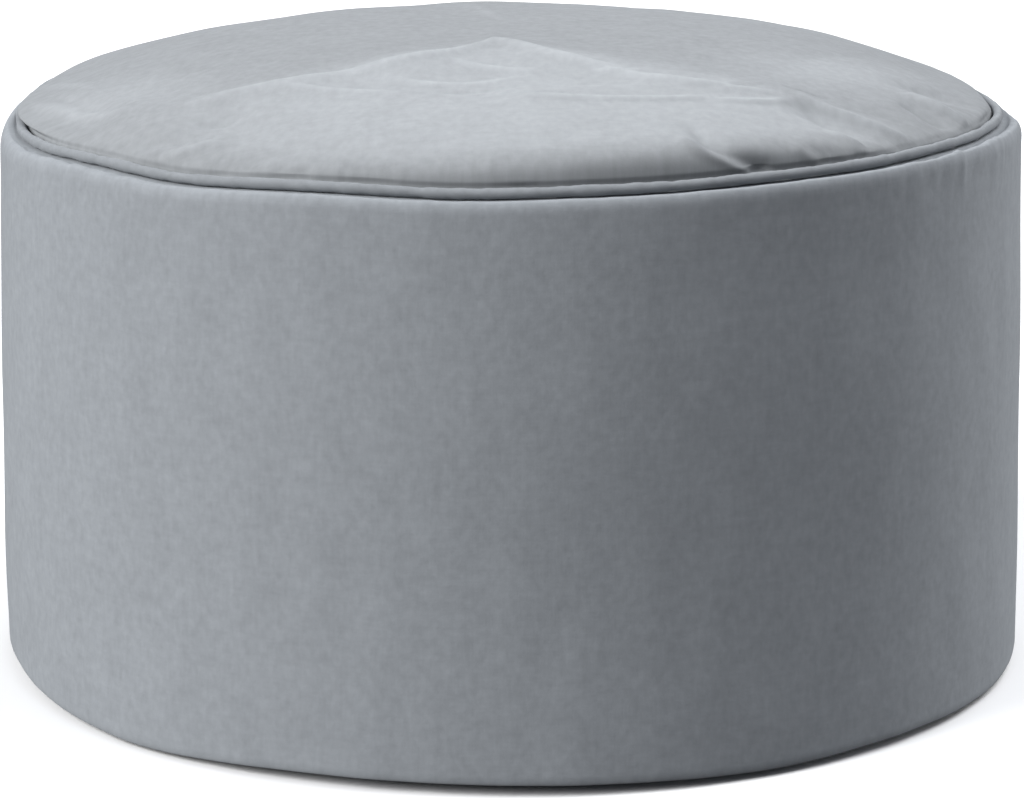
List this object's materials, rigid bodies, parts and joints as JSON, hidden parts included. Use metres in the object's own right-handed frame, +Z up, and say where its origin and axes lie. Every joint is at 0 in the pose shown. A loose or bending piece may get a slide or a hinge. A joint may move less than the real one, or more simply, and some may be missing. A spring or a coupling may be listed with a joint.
{
  "type": "bean bag footstool",
  "caption": "Round bead-filled cloth footstool: straight side band, crowned and creased top panel, covered piping in the top seam, flat round base.",
  "frame": {"origin": "on the floor under the middle of the base panel", "axes": "+Z up, -Y towards the front, +X towards the right as seen from the front"},
  "size_m": [0.5081, 0.5084, 0.3135],
  "materials": {
    "band_cloth": "matt plain weave, cool mid grey",
    "top_cloth": "matt plain weave, cool mid grey",
    "piping_cloth": "matt plain weave cut on the bias over a cord, cool mid grey",
    "base_cloth": "matt plain weave, cool mid grey"
  },
  "bodies": {
    "root": {"filled_side_band": "band_cloth", "top_panel": "top_cloth", "top_piping": "piping_cloth", "base_panel": "base_cloth"}
  },
  "joints": []
}
